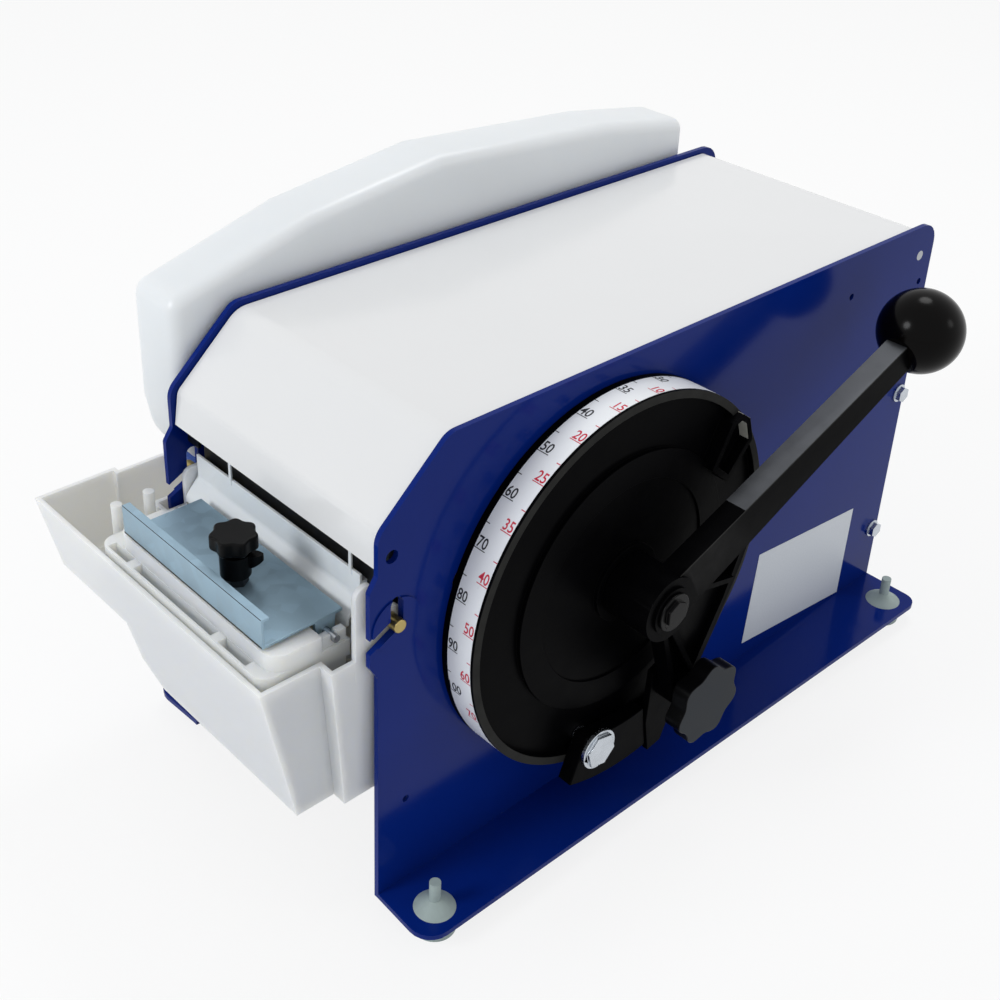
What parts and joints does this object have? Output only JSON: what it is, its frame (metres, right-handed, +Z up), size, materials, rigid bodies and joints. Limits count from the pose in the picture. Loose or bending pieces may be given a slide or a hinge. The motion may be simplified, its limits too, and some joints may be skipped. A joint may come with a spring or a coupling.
{
  "type": "gummed tape dispenser",
  "caption": "Lever-operated gummed tape dispenser with steel side plates, hinged lid, length dial, geared feed, shear knives, brush tank, pressure plate and water bottle.",
  "frame": {"origin": "centre of the bounding box, on the plane that the rubber feet stand on", "axes": "+Z up, -Y towards the tape outlet and the user, +X towards the lever side"},
  "size_m": [0.287, 0.482, 0.3129],
  "materials": {
    "blue_paint": "gloss",
    "white_paint": "gloss",
    "black_casting": "satin",
    "black_steel": "satin",
    "zinc": "satin",
    "steel": "satin",
    "brass": "satin",
    "bronze": "satin",
    "black_plastic": "gloss",
    "grey_plastic": "satin",
    "white_plastic": "satin",
    "clear_plastic": "satin",
    "scale_white": "satin",
    "foot_rubber": "matte",
    "roller_rubber": "matte",
    "bristle": "matte",
    "blue_cap": "satin"
  },
  "bodies": {
    "frame": {"side_plate_right": "blue_paint", "side_plate_left": "blue_paint", "rear_panel": "blue_paint", "rear_bolts": "zinc", "base_tray": "zinc", "feet": "foot_rubber", "lid_hinge_pin": "zinc", "dial_drum": "black_casting", "dial_screws": "zinc", "scale_band": "scale_white", "stop_block": "black_casting", "stop_bolt": "zinc", "shaft_bushes": "bronze", "pinch_bracket": "zinc", "knife_cheeks": "black_steel", "lower_knife": "black_steel", "knife_springs": "steel", "chute_panel": "white_plastic", "bottle_bracket": "blue_paint", "bracket_bolts": "zinc"},
    "lid": {"lid": "white_paint"},
    "lever": {"lever": "black_casting", "ball_knob": "black_plastic", "lever_shaft": "steel", "lever_cap": "black_plastic", "stop_finger": "black_steel", "lever_gear": "steel"},
    "grip": {"star_grip": "grey_plastic"},
    "idler": {"idler_shaft": "steel", "idler_pinion": "steel", "idler_gear": "steel"},
    "feed": {"feed_shaft": "steel", "feed_pinion": "steel", "feed_roller": "roller_rubber"},
    "pinch": {"pinch_roller": "roller_rubber"},
    "support_front": {"support_roller_front": "white_plastic"},
    "support_rear": {"support_roller_rear": "white_plastic"},
    "guide_left": {"roll_guide_left": "zinc"},
    "guide_right": {"roll_guide_right": "zinc"},
    "knife": {"upper_knife": "black_steel"},
    "tank": {"water_tank": "white_plastic", "hook_pins": "brass", "brush_tray": "white_plastic", "brush_rear": "bristle", "brush_front": "bristle"},
    "press": {"pressure_plate": "zinc", "pressure_rod": "steel", "weld_nut": "zinc"},
    "knob": {"star_knob": "black_plastic"},
    "lock": {"lock_lever": "black_plastic"},
    "bottle": {"water_bottle": "clear_plastic", "bottle_cap": "blue_cap"}
  },
  "joints": [
    {"name": "lever_swing", "type": "hinge", "parent": "frame", "child": "lever", "pos_m": [0.0955, -0.04, 0.152], "axis": [1, 0, 0], "range_deg": [0, 150]},
    {"name": "idler_spin", "type": "hinge", "parent": "frame", "child": "idler", "pos_m": [0.0505, -0.12362, 0.13417], "axis": [1, 0, 0], "range_deg": [-801, 0]},
    {"name": "feed_spin", "type": "hinge", "parent": "frame", "child": "feed", "pos_m": [0.0505, -0.132, 0.186], "axis": [1, 0, 0], "range_deg": [0, 2001]},
    {"name": "pinch_spin", "type": "hinge", "parent": "frame", "child": "pinch", "pos_m": [-0.0095, -0.132, 0.2183], "axis": [1, 0, 0], "range_deg": [-3334.33, 0]},
    {"name": "grip_turn", "type": "hinge", "parent": "lever", "child": "grip", "pos_m": [0.1155, -0.0085, 0.07955], "axis": [1, 0, 0], "continuous": true},
    {"name": "lid_open", "type": "hinge", "parent": "frame", "child": "lid", "pos_m": [-0.0095, 0.228, 0.251], "axis": [-1, 0, 0], "range_deg": [0, 100]},
    {"name": "knife_down", "type": "slide", "parent": "frame", "child": "knife", "axis": [0, 0, -1], "range_m": [0, 0.009], "stiffness_N_per_m": 800, "springref_m": -0.006, "deforming": ["knife_springs"]},
    {"name": "support_front_spin", "type": "hinge", "parent": "frame", "child": "support_front", "pos_m": [-0.0095, 0.012, 0.0435], "axis": [1, 0, 0], "continuous": true},
    {"name": "support_rear_spin", "type": "hinge", "parent": "frame", "child": "support_rear", "pos_m": [-0.0095, 0.142, 0.0435], "axis": [1, 0, 0], "continuous": true},
    {"name": "guide_left_slide", "type": "slide", "parent": "frame", "child": "guide_left", "axis": [1, 0, 0], "range_m": [0, 0.02]},
    {"name": "guide_right_slide", "type": "slide", "parent": "frame", "child": "guide_right", "axis": [-1, 0, 0], "range_m": [0, 0.02]},
    {"name": "tank_lift", "type": "slide", "parent": "frame", "child": "tank", "axis": [0, 0, 1], "range_m": [0, 0.01]},
    {"name": "press_lift", "type": "slide", "parent": "tank", "child": "press", "axis": [0, 0, 1], "range_m": [0, 0.03]},
    {"name": "knob_turn", "type": "hinge", "parent": "press", "child": "knob", "pos_m": [0.0015, -0.211, 0.1995], "axis": [0, 0, 1], "continuous": true},
    {"name": "lock_turn", "type": "hinge", "parent": "press", "child": "lock", "pos_m": [0.0015, -0.211, 0.1875], "axis": [0, 0, 1], "range_deg": [-60, 60]},
    {"name": "bottle_lift", "type": "slide", "parent": "tank", "child": "bottle", "axis": [0, 0, 1], "range_m": [0, 0.12]}
  ],
  "couplings": [
    {"joint": "idler_spin", "follows": "lever_swing", "ratio": -5.3333},
    {"joint": "feed_spin", "follows": "lever_swing", "ratio": 13.333},
    {"joint": "pinch_spin", "follows": "lever_swing", "ratio": -22.222}
  ]
}
